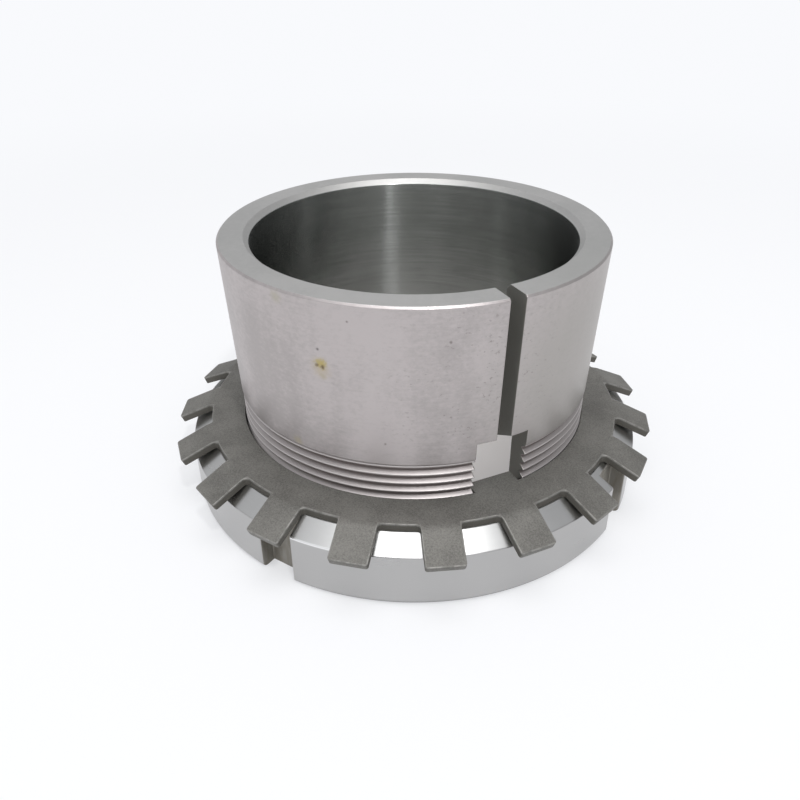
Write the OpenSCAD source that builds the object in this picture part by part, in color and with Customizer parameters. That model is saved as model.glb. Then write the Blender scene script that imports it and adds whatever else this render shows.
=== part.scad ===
// Bearing adapter sleeve with its lock nut and lock washer.
// The sleeve stands on its small, threaded end: the axis is +Z and z = 0 is the lower face of the nut.
// A shaft runs through the bore, a bearing sits on the taper, and the nut draws the two together.

/* [Sleeve] */
// Bore diameter, the size of the shaft
bore_d = 70; // [50:0.5:110]
// Wall of the sleeve at the thread
sleeve_wall = 5; // [3.5:0.1:10]
// Length of the sleeve from end to end
sleeve_len = 59; // [48:0.5:80]
// Taper of the bearing seat, one part of diameter in this many of length
taper = 12; // [10:1:30]
// Radial step from the thread up to the small end of the taper
seat_step = 0.2; // [0.1:0.05:1]
// Chamfer at the top edge of the bore
bore_chamfer = 1.15; // [0.3:0.05:2]
// Chamfer at the lower edge of the bore
bore_chamfer_low = 0.6; // [0.2:0.05:1.5]
// Chamfer at the top edge of the taper
top_chamfer = 0.35; // [0.2:0.05:1.5]
// Width of the slit that lets the sleeve close on the shaft
slit_w = 3.2; // [1:0.1:6]
// Direction of the slit about the axis, in degrees from +X
slit_angle = -32.2; // [-180:0.1:180]

/* [Thread] */
// Length of thread left free above the washer
thread_free = 7.7; // [3:0.1:12]
// Chamfer at the lower end of the thread
thread_chamfer = 1.2; // [0.4:0.1:2]
// Radial clearance of the nut on the thread
thread_clearance = 0.05; // [0.02:0.01:0.1]

/* [Keyway] */
// Width of the keyway that holds the tongue of the washer
key_w = 11.5; // [8:0.1:16]
// Length of the keyway past the end of the thread
key_over = 4.2; // [0.5:0.1:6]
// Angle at which the upper end of the keyway falls towards the bore
key_end_angle = 28; // [0:1:35]
// Clearance of the tongue in the keyway, on each side
tongue_clearance = 0.75; // [0.3:0.05:2]
// Gap left between the tongue and the wall that it was pushed to
tongue_side_gap = 0.25; // [0.1:0.05:0.3]
// Gap between the end of the tongue and the shaft
tongue_shaft_gap = 1.5; // [0.5:0.1:2]

/* [Nut] */
// Wall of the nut from the thread to its outside
nut_wall = 12.5; // [9:0.1:20]
// Width of the nut along the axis
nut_w = 15; // [10:0.5:20]
// Radial width of the chamfer that faces the washer
nut_chamfer_w = 4.5; // [2:0.1:5]
// Angle of that chamfer to the face
nut_chamfer_angle = 30; // [20:1:45]
// Radius of the lower outer edge
nut_edge_r = 1.5; // [0.5:0.1:3]
// Chamfer at both ends of the thread in the nut
nut_bore_chamfer = 1; // [0.3:0.1:2]
// Number of spanner slots
slot_count = 4; // [3:1:6]
// Width of a spanner slot
slot_w = 8; // [5:0.5:12]
// Depth of a spanner slot below the outside of the nut
slot_depth = 3.5; // [1:0.1:4]

/* [Washer] */
// Thickness of the sheet
washer_t = 1.8; // [1:0.1:3]
// Radial clearance of the washer on the thread
washer_clearance = 0.25; // [0.1:0.05:0.6]
// Number of outer teeth
tooth_count = 19; // [13:2:21]
// Width of a tooth
tooth_w = 7.8; // [5:0.1:9]
// Reach of the teeth past the outside of the nut
tooth_overhang = 3.6; // [1:0.1:6]
// Angle that the bent teeth keep above the chamfer of the nut
tooth_relief = 5; // [2:1:15]
// Inner radius of the bend
bend_r = 2; // [0.5:0.5:4]
// Distance of the bend outside the face of the nut
bend_clearance = 0.3; // [0.1:0.1:1]
// Radius of the corners at the tip of a tooth
tip_r = 1; // [0.3:0.1:2]
// Radius of the corners at the root of a tooth
root_r = 0.8; // [0.2:0.1:1.5]

/* [Hidden] */
$fn = 96;
// Overrun of a cutter past the face that it cuts
over = 1;

bore_r = bore_d / 2;
thread_r = bore_r + sleeve_wall;
thread_len = nut_w + washer_t + thread_free;
key_len = thread_len + key_over;
seat_small_r = thread_r + seat_step;
seat_z = thread_len + seat_step;
large_r = seat_small_r + (sleeve_len - seat_z) / taper / 2;

nut_r = thread_r + nut_wall;
nut_face_r = nut_r - nut_chamfer_w;
nut_bore_r = thread_r + thread_clearance;
nut_chamfer_h = nut_chamfer_w * tan(nut_chamfer_angle);

washer_bore_r = thread_r + washer_clearance;
fold_x = nut_face_r + bend_clearance;
ring_r = fold_x;
tip_reach = nut_r + tooth_overhang;
tooth_bend = nut_chamfer_angle - tooth_relief;
tongue_w = key_w - 2 * tongue_clearance;
tongue_end = bore_r + tongue_shaft_gap;
// The washer is turned until its tongue lies beside one wall of the keyway
washer_angle = slit_angle - asin((tongue_clearance - tongue_side_gap) / thread_r);

// Radius of the tapered seat at a height
function seat_r(z) = seat_small_r + (z - seat_z) / taper / 2;

// Half section of the sleeve: thread at the foot, then the taper, open to the bore
module sleeve_section() {
    polygon([
        [bore_r + bore_chamfer_low, 0],
        [thread_r - thread_chamfer, 0],
        [thread_r, thread_chamfer],
        [thread_r, thread_len],
        [seat_small_r, seat_z],
        [seat_r(sleeve_len - top_chamfer), sleeve_len - top_chamfer],
        [large_r - top_chamfer, sleeve_len],
        [bore_r + bore_chamfer, sleeve_len],
        [bore_r, sleeve_len - bore_chamfer],
        [bore_r, bore_chamfer_low]
    ]);
}

// Cut through one side of the sleeve's wall, along +X, from below its foot to a height at the outside;
// the upper end of the cut falls towards the bore by an angle
module wall_cut(width, top, fall = 0) {
    inner = bore_r * 3 / 4;
    outer = large_r + over;
    rotate([90, 0, 0])
        linear_extrude(width, center = true)
            polygon([
                [inner, -over],
                [outer, -over],
                [outer, top + (outer - seat_small_r) * tan(fall)],
                [inner, top - (seat_small_r - inner) * tan(fall)]
            ]);
}

module adapter_sleeve() {
    color("#b9b5b2")
        rotate([0, 0, slit_angle])
            difference() {
                rotate_extrude() sleeve_section();
                wall_cut(slit_w, sleeve_len + over);
                wall_cut(key_w, key_len, key_end_angle);
            }
}

// Half section of the nut, with a round lower edge and a chamfer towards the washer
module nut_section() {
    difference() {
        polygon([
            [nut_bore_r + nut_bore_chamfer, 0],
            [nut_r, 0],
            [nut_r, nut_w - nut_chamfer_h],
            [nut_face_r, nut_w],
            [nut_bore_r + nut_bore_chamfer, nut_w],
            [nut_bore_r, nut_w - nut_bore_chamfer],
            [nut_bore_r, nut_bore_chamfer]
        ]);
        translate([nut_r - nut_edge_r, nut_edge_r])
            difference() {
                translate([0, -nut_edge_r - over]) square(nut_edge_r + over);
                circle(nut_edge_r);
            }
    }
}

// One spanner slot, open to the outside along +X
module spanner_slot() {
    translate([nut_r - slot_depth, -slot_w / 2, -over])
        cube([slot_depth + over, slot_w, nut_w + 2 * over]);
}

module lock_nut() {
    color("#b4b2b0")
        difference() {
            rotate_extrude() nut_section();
            for (i = [0 : slot_count - 1])
                rotate([0, 0, 360 / slot_count * i]) spanner_slot();
        }
}

// Half section of the sheet: flat to the fold, round the bend, then down the slope to a square-cut tip
module sheet_section() {
    slope_len = (tip_reach - fold_x - (bend_r + washer_t) * sin(tooth_bend)) / cos(tooth_bend);
    translate([tongue_end - over, 0]) square([fold_x - tongue_end + over, washer_t]);
    translate([fold_x, -bend_r]) {
        intersection() {
            difference() {
                circle(bend_r + washer_t);
                circle(bend_r);
            }
            wedge_r = 2 * (bend_r + washer_t);
            polygon([[0, 0], [0, wedge_r], [wedge_r * sin(tooth_bend), wedge_r * cos(tooth_bend)]]);
        }
        rotate(-tooth_bend) translate([0, bend_r]) square([slope_len, washer_t]);
    }
}

// Outline of one tooth along +X, with round corners at its tip and its root; the sheet ends at the tip
module tooth_outline() {
    tip_x = tip_reach - tip_r;
    translate([washer_bore_r + over, -tooth_w / 2]) square([tip_x - washer_bore_r - over, tooth_w]);
    translate([tip_x - over, tip_r - tooth_w / 2]) square([over + tip_r + over, tooth_w - 2 * tip_r]);
    for (side = [-1, 1]) {
        translate([tip_x, side * (tooth_w / 2 - tip_r)]) circle(tip_r);
        root_y = tooth_w / 2 + root_r;
        root_x = sqrt((ring_r + root_r) * (ring_r + root_r) - root_y * root_y);
        difference() {
            translate([root_x - root_r, side > 0 ? tooth_w / 2 - over : -root_y])
                square([root_r, root_r + over]);
            translate([root_x, side * root_y]) circle(root_r);
        }
    }
}

// Outline of the washer seen along the axis, with its tongue along +X
module washer_outline() {
    difference() {
        union() {
            circle(ring_r);
            for (i = [0 : tooth_count - 1])
                rotate(360 / tooth_count * i) tooth_outline();
        }
        circle(washer_bore_r);
    }
    translate([tongue_end, -tongue_w / 2]) square([washer_bore_r + over - tongue_end, tongue_w]);
}

module lock_washer() {
    drop = tip_reach * sin(tooth_bend) + bend_r;
    color("#6c6c65")
        translate([0, 0, nut_w])
            rotate([0, 0, washer_angle])
                intersection() {
                    rotate_extrude() sheet_section();
                    translate([0, 0, -drop]) linear_extrude(drop + 2 * washer_t) washer_outline();
                }
}

adapter_sleeve();
lock_nut();
lock_washer();
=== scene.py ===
"""Dressed model of a bearing adapter sleeve with its lock nut and lock washer.

The sleeve stands on its threaded end, with its axis on +Z and the foot of the nut at z = 0.
Lengths are in millimetres and angles in degrees until a mesh is made, which is in metres.
"""

from __future__ import annotations

import logging
import math
from dataclasses import dataclass
from enum import Enum
from typing import Any, Callable, Union

import bmesh
import bpy
import numpy as np
from mathutils import Matrix, Vector


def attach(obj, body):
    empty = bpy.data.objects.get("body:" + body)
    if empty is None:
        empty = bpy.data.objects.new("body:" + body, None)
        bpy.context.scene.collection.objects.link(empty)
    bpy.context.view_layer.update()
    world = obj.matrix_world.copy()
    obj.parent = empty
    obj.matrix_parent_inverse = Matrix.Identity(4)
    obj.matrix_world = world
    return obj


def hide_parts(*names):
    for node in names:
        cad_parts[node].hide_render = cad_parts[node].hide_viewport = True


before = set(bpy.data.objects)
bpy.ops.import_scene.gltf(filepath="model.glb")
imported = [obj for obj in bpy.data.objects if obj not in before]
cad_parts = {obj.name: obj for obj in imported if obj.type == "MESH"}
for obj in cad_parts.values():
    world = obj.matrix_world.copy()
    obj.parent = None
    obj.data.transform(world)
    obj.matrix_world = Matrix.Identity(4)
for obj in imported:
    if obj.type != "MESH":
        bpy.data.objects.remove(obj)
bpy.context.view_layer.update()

LOG = logging.getLogger("adapter_sleeve")
MM = 0.001
FULL_TURN = 2 * math.pi
QUARTER_TURN = math.pi / 2
# Middle of a noise pattern, which runs from 0 to 1
MIDDLE = 0.5

Colour = tuple[float, float, float]
Point = tuple[float, float, float]
Span = tuple[float, float]
Number = Union[float, "Value"]
Sockets = dict[Union[str, int], Any]


class Piece(Enum):
    """The pieces of the object: object name, CAD node, moving body and finish slot of each."""

    SLEEVE = ("sleeve_body", "adapter_sleeve", "sleeve", "ground_steel")
    NUT = ("nut_ring", "lock_nut", "nut", "turned_steel")
    WASHER = ("washer_sheet", "lock_washer", "washer", "phosphated_steel")

    def __init__(self, title: str, node: str, body: str, finish: str) -> None:
        """Keeps the names that belong to the piece."""
        self.title = title
        self.node = node
        self.body = body
        self.finish = finish


def operation(kind: str, turned_round: bool = False) -> Callable[[Value, Number], Value]:
    """A method that joins a value and another one or a number by a Math node.

    Args:
        kind: Blender's name of the operation.
        turned_round: Whether the other one comes first.

    Returns:
        The method.
    """

    def method(value: Value, other: Number) -> Value:
        """Adds the node."""
        pair = (other, value) if turned_round else (value, other)
        return value.graph.math(kind, *pair)

    return method


class Value:
    """A node socket on which Python's operators work, each by adding a Math node."""

    def __init__(self, graph: Graph, socket: bpy.types.NodeSocket) -> None:
        """Keeps the graph that the socket belongs to."""
        self.graph = graph
        self.socket = socket

    # Sum, difference, product, quotient and power, then the smaller and the larger of the two
    __add__ = operation("ADD")
    __radd__ = operation("ADD")
    __sub__ = operation("SUBTRACT")
    __rsub__ = operation("SUBTRACT", turned_round=True)
    __mul__ = operation("MULTIPLY")
    __truediv__ = operation("DIVIDE")
    __pow__ = operation("POWER")
    least = operation("MINIMUM")
    most = operation("MAXIMUM")

    def __abs__(self) -> Value:
        """Absolute value."""
        return self.graph.math("ABSOLUTE", self)

    def rise(self, zero: float, one: float) -> Value:
        """A smooth step from 0 at the first value to 1 at the second, which may be the smaller."""
        limits = {"Value": self, "From Min": zero, "From Max": one}
        return self.graph.node("ShaderNodeMapRange", limits, interpolation_type="SMOOTHSTEP")


@dataclass(frozen=True)
class Noise:
    """A noise pattern: features per millimetre, octaves, their strength, and stretch of each axis."""

    scale: float
    detail: float
    grit: float
    stretch: Point = (1.0, 1.0, 1.0)


class Graph:
    """The nodes of one material or of the world."""

    def __init__(self, tree: bpy.types.NodeTree) -> None:
        """Empties the tree."""
        tree.nodes.clear()
        self.tree = tree

    def add(self, kind: str, inputs: Sockets | None = None, **settings: Any) -> bpy.types.Node:
        """Adds a node of any kind.

        Args:
            kind: Blender's name of the node type.
            inputs: A number, colour, vector or Value for each socket that isn't left as it is.
            settings: The node's own properties, which are set first.

        Returns:
            The node.
        """
        made = self.tree.nodes.new(kind)
        for key, setting in settings.items():
            setattr(made, key, setting)
        for key, given in (inputs or {}).items():
            if isinstance(given, Value):
                self.tree.links.new(given.socket, made.inputs[key])
            else:
                made.inputs[key].default_value = given
        return made

    def node(self, kind: str, inputs: Sockets | None = None, out: str | int = 0, **settings: Any) -> Value:
        """One output of a new node, by its name or number."""
        return Value(self, self.add(kind, inputs, **settings).outputs[out])

    def math(self, operation: str, *values: Number) -> Value:
        """Adds a Math node."""
        return self.node("ShaderNodeMath", dict(enumerate(values)), operation=operation)

    def split(self, vector: Value) -> list[Value]:
        """The three parts of a vector."""
        return [Value(self, part) for part in self.add("ShaderNodeSeparateXYZ", {0: vector}).outputs]

    def join(self, x: Number, y: Number, z: Number) -> Value:
        """A vector of three parts."""
        return self.node("ShaderNodeCombineXYZ", {0: x, 1: y, 2: z})

    def radius(self, x: Value, y: Value) -> Value:
        """Distance from the axis."""
        return (x * x + y * y) ** 0.5

    def mix(self, share: Number, first: Value | Colour, second: Colour) -> Value:
        """Two colours mixed, from the first at share 0 to the second at share 1."""
        start = first if isinstance(first, Value) else solid(first)
        return self.node("ShaderNodeMix", {0: share, 6: start, 7: solid(second)}, 2, data_type="RGBA")

    def rays(self, *kinds: str) -> list[Value]:
        """For each kind of ray, 1 where the light path is of that kind and 0 otherwise."""
        outputs = self.add("ShaderNodeLightPath").outputs
        return [Value(self, outputs[f"Is {kind} Ray"]) for kind in kinds]

    def close(self, surface: Value, kind: str = "ShaderNodeOutputMaterial") -> None:
        """Makes a shader the surface of the material or of the world."""
        self.add(kind, {"Surface": surface})


class Surface(Graph):
    """The nodes of one material, with the point on the piece and its coordinates in millimetres."""

    def __init__(self, name: str) -> None:
        """Makes the material."""
        self.material = bpy.data.materials.new(name)
        self.material.use_nodes = True
        super().__init__(self.material.node_tree)
        metres = self.node("ShaderNodeTexCoord", out="Object")
        self.place = self.node("ShaderNodeVectorMath", {0: metres, "Scale": 1 / MM}, operation="SCALE")
        self.x, self.y, self.z = self.split(self.place)
        self.r = self.radius(self.x, self.y)

    def noise(self, pattern: Noise, at: Value | None = None) -> Value:
        """A pattern from 0 to 1, at the point or at another one."""
        ends = {0: at or self.place, 1: pattern.stretch}
        drawn = self.node("ShaderNodeVectorMath", ends, operation="MULTIPLY")
        octaves = {"Detail": pattern.detail, "Roughness": pattern.grit}
        return self.node("ShaderNodeTexNoise", {"Vector": drawn, "Scale": pattern.scale, **octaves})

    def ripple(self, pattern: Noise, at: Value | None = None) -> Value:
        """The same pattern, above and below zero."""
        return self.noise(pattern, at) - MIDDLE

    def distance(self, other: Point) -> Value:
        """Distance of the point from a fixed one."""
        ends = {0: self.place, 1: other}
        return self.node("ShaderNodeVectorMath", ends, "Value", operation="DISTANCE")

    def finish(self, shader: Value) -> bpy.types.Material:
        """The material with a shader as its surface."""
        self.close(shader)
        return self.material


def solid(colour: Colour) -> tuple[float, float, float, float]:
    """The colour as a node takes it, with its alpha."""
    return (*colour, 1.0)


def linked(name: str, data: bpy.types.ID) -> bpy.types.Object:
    """A new object in the scene."""
    made = bpy.data.objects.new(name, data)
    bpy.context.scene.collection.objects.link(made)
    return made


@dataclass
class Shape:
    """Points in millimetres and four-cornered faces of a mesh that is still to be made.

    Points closer than the weld distance, in metres, become one. Edges above the sharp angle stay
    sharp.
    """

    points: np.ndarray
    faces: np.ndarray
    weld: float = 2e-7
    sharp_angle: float = 34.0

    def to_object(self, name: str) -> bpy.types.Object:
        """Makes the mesh: doubles merged, faces outward, shaded smooth up to the sharp angle.

        Args:
            name: Name of the object.

        Returns:
            The object, linked to the scene.
        """
        mesh = bpy.data.meshes.new(name)
        mesh.from_pydata((self.points * MM).tolist(), [], self.faces.tolist())
        work = bmesh.new()
        work.from_mesh(mesh)
        bmesh.ops.remove_doubles(work, verts=work.verts, dist=self.weld)
        bmesh.ops.recalc_face_normals(work, faces=work.faces)
        work.to_mesh(mesh)
        work.free()
        mesh.polygons.foreach_set("use_smooth", np.ones(len(mesh.polygons), dtype=bool))
        mesh.set_sharp_from_angle(angle=math.radians(self.sharp_angle))
        return linked(name, mesh)


def grid_faces(rows: int, columns: int, closed: bool = True) -> np.ndarray:
    """Corner numbers of the cells of a grid whose points are numbered row by row.

    Args:
        rows: Number of rows.
        columns: Number of points in a row.
        closed: Whether the last column joins the first.

    Returns:
        One row of four numbers for each cell.
    """
    number = np.arange(rows * columns).reshape(rows, columns)
    after = np.roll(number, -1, axis=1)
    last = columns if closed else columns - 1
    cells = np.stack([number[:-1], after[:-1], after[1:], number[1:]], axis=-1)
    return cells[:, :last].reshape(-1, 4)


def soften(corners: list[Point], steps: int = 5, guard: float = 0.08) -> np.ndarray:
    """Rounds the corners of an open profile.

    A corner becomes an arc that touches both of its sides, with one more point on each side at
    the guard's distance, so that smooth shading stays at the edge.

    Args:
        corners: Radius, height and rounding of each corner; the two ends aren't rounded.
        steps: Points on each arc.
        guard: Distance from an arc to its guard points.

    Returns:
        Points of the rounded profile as rows of radius and height.
    """
    path = np.array(corners, dtype=float)
    made = [path[:1, :2]]
    for before, here, after in zip(path[:-2], path[1:-1], path[2:]):
        if here[2] == 0:
            made.append(here[None, :2])
            continue
        back = (before - here)[:2] / np.linalg.norm((before - here)[:2])
        ahead = (after - here)[:2] / np.linalg.norm((after - here)[:2])
        half = math.acos(float(np.clip(back @ ahead, -1, 1))) / 2
        inward = (back + ahead) / np.linalg.norm(back + ahead)
        across = (ahead - back) / np.linalg.norm(ahead - back)
        centre = here[:2] + inward * here[2] / math.sin(half)
        swing = np.linspace(-1, 1, steps)[:, None] * (QUARTER_TURN - half)
        arc = centre + here[2] * (np.sin(swing) * across - np.cos(swing) * inward)
        reach = here[2] / math.tan(half) + guard
        made += [here[None, :2] + back * reach, arc, here[None, :2] + ahead * reach]
    made.append(path[-1:, :2])
    return np.concatenate(made)


def swung(along: np.ndarray, across: np.ndarray, angle: np.ndarray) -> tuple[np.ndarray, np.ndarray]:
    """Plane coordinates of points that are turned about the axis by an angle in radians."""
    c = np.cos(angle)
    s = np.sin(angle)
    return along * c - across * s, along * s + across * c


def turned(points: np.ndarray, angle: float) -> np.ndarray:
    """The points turned about the axis by an angle in degrees."""
    x, y = swung(points[..., 0], points[..., 1], math.radians(angle))
    return np.stack([x, y, points[..., 2]], axis=-1)


def polar(r: np.ndarray, angle: np.ndarray, z: np.ndarray) -> np.ndarray:
    """Points at radii, angles in radians and heights, spread to one shape."""
    return np.stack(np.broadcast_arrays(r * np.cos(angle), r * np.sin(angle), z), axis=-1)


@dataclass(frozen=True)
class Thread:
    """Right-hand screw thread that the sleeve and the nut share, with angles from the slit."""

    major_r: float = 40.0
    pitch: float = 2.0
    crest_z: float = 0.58
    flank_angle: float = 30.0
    crest_flat: float = 0.25
    crest_round: float = 0.05
    crest_knot: float = 0.055
    depth: float = 1.227
    nut_depth: float = 1.18
    nut_gap: float = 0.1
    nut_side_gap: float = 0.06

    @property
    def knots(self) -> np.ndarray:
        """Row places in one turn: the middle and both ends of the root, three at each crest edge."""
        edge = self.crest_flat / 2
        foot = edge + self.depth * math.tan(math.radians(self.flank_angle))
        near = np.array([edge - self.crest_knot, edge, edge + self.crest_knot])
        return np.concatenate([[-self.pitch / 2, -foot], -near[::-1], near, [foot]]) / self.pitch

    def rows(self, first: int, last: int) -> np.ndarray:
        """Row places in turns: every knot of the profile in each turn from first to last."""
        return (np.arange(first, last)[:, None] + self.knots).ravel()

    def height(self, rows: np.ndarray, angle: np.ndarray) -> np.ndarray:
        """Height of a row: the crest's height plus one pitch for each turn of row and angle."""
        return self.crest_z + self.pitch * (rows[:, None] + angle[None, :] / FULL_TURN)

    def drop(self, z: np.ndarray, angle: np.ndarray, widen: float, depth: float) -> np.ndarray:
        """Distance below the crest.

        The distance along the axis from the nearest crest, less half the flat, is rounded at
        the crest's edge by a hyperbola, carried down the flank and cut off at the root.

        Args:
            z: Heights.
            angle: Angles from the slit.
            widen: Distance by which each side of the crest is widened.
            depth: Depth of the root.

        Returns:
            Radial distances.
        """
        turn = (z - self.crest_z) / self.pitch - angle / FULL_TURN
        aside = np.abs(turn - np.round(turn)) * self.pitch - self.crest_flat / 2 - widen
        eased = (aside + np.sqrt(aside**2 + self.crest_round**2)) / 2
        return np.minimum(eased / math.tan(math.radians(self.flank_angle)), depth)

    def sleeve_r(self, z: np.ndarray, angle: np.ndarray, fade: np.ndarray) -> np.ndarray:
        """Radius of the outer thread, whose depth is multiplied by fade."""
        return self.major_r - self.drop(z, angle, 0.0, self.depth) * fade

    def nut_r(self, z: np.ndarray, angle: np.ndarray) -> np.ndarray:
        """Radius of the inner thread, clear of the outer one on every side."""
        return self.major_r + self.nut_gap - self.drop(z, angle, self.nut_side_gap, self.nut_depth)


@dataclass(frozen=True)
class Tone:
    """What a finish changes where a mask is 1: colour by a share, roughness, and metal that is lost."""

    colour: Colour
    share: float = 1.0
    rougher: float = 0.0
    duller: float = 0.0


@dataclass
class Look:
    """Colour, roughness and metal of a surface while its finish is put together."""

    graph: Surface
    colour: Value
    rough: Number
    metal: Number = 1.0

    def lay(self, mask: Value, tone: Tone) -> None:
        """Lays a tone where the mask is 1."""
        self.colour = self.graph.mix(mask * tone.share, self.colour, tone.colour)
        if tone.rougher:
            self.rough = self.rough + mask * tone.rougher
        if tone.duller:
            self.metal = (1 - mask * tone.duller) * self.metal

    def level(self, mask: Value, rough: float) -> None:
        """Brings the roughness to a value where the mask is 1."""
        self.rough = self.rough + mask * (rough - self.rough)

    def shader(self, height: Value, strength: float, depth: float, gloss: Sockets) -> Value:
        """Joins the parts into a shader.

        Args:
            height: Height of the fine bumps.
            strength: Strength of the bumps.
            depth: Depth of the bumps in millimetres.
            gloss: Further sockets of the shader.

        Returns:
            The shader.
        """
        fine = {"Strength": strength, "Distance": depth * MM, "Height": height}
        bump = self.graph.node("ShaderNodeBump", fine)
        sockets = {"Base Color": self.colour, "Roughness": self.rough, "Metallic": self.metal, "Normal": bump}
        return self.graph.node("ShaderNodeBsdfPrincipled", {**sockets, **gloss})


@dataclass(frozen=True)
class MachinedSteel:
    """Bare steel with the fine marks of a tool that ran round the axis."""

    name: str
    light: Colour
    dark: Colour
    roughness: float
    anisotropy: float = 0.7
    gloss_turn: float = 0.25
    lines: Noise = Noise(1.0, 5.0, 0.65, (0.05, 0.05, 2.2))
    line_tint: float = 0.40
    line_rough: float = 0.10
    line_bump: float = 0.25
    bump_height: float = 0.004
    blotches: Noise = Noise(0.07, 4.0, 0.55)
    blotch_tint: float = 1.6
    blotch_rough: float = 0.12
    bands: Noise = Noise(1.0, 3.0, 0.6, (0.07, 0.07, 0.006))
    band_tint: float = 0.0
    grain: Noise = Noise(0.75, 5.0, 0.75, (1.0, 1.0, 1.6))
    grain_tint: float = 0.0

    def base(self, g: Surface) -> tuple[Look, Value]:
        """Tool lines and blotches.

        The lines are noise that is stretched round the axis: it changes quickly with z + r,
        which is the way across the lines on walls and on end faces alike. Soft bands along the
        axis and a fine grain are added where the finish has them.

        Args:
            g: The graph.

        Returns:
            The look and the height of the lines.
        """
        lines = g.ripple(self.lines, g.join(g.x, g.y, g.z + g.r))
        blotch = g.ripple(self.blotches)
        share = lines * self.line_tint + blotch * self.blotch_tint + MIDDLE
        for pattern, tint in ((self.bands, self.band_tint), (self.grain, self.grain_tint)):
            if tint:
                share = share + g.ripple(pattern) * tint
        rough = self.roughness + lines * self.line_rough + blotch * self.blotch_rough
        return Look(g, g.mix(share.rise(0.0, 1.0), self.dark, self.light), rough), lines

    def shader(self, look: Look, lines: Value) -> Value:
        """A metal whose gloss is drawn out across the tool lines."""
        gloss = {"Anisotropic": self.anisotropy, "Anisotropic Rotation": self.gloss_turn}
        return look.shader(lines, self.line_bump, self.bump_height, gloss)


@dataclass(frozen=True)
class Mark:
    """A small stain or pit on the taper: degrees from the slit, height, radius, colour and strength.

    It is full inside the core and ends at the rim, both as parts of the radius.
    """

    angle: float
    z: float
    radius: float
    colour: Colour
    share: float
    rim: float = 1.15
    core: float = 0.1
    rougher: float = 0.2
    duller: float = 0.7

    @property
    def tone(self) -> Tone:
        """Its tone, all of which follows its strength."""
        return Tone(self.colour, self.share, self.rougher * self.share, self.duller * self.share)


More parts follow.
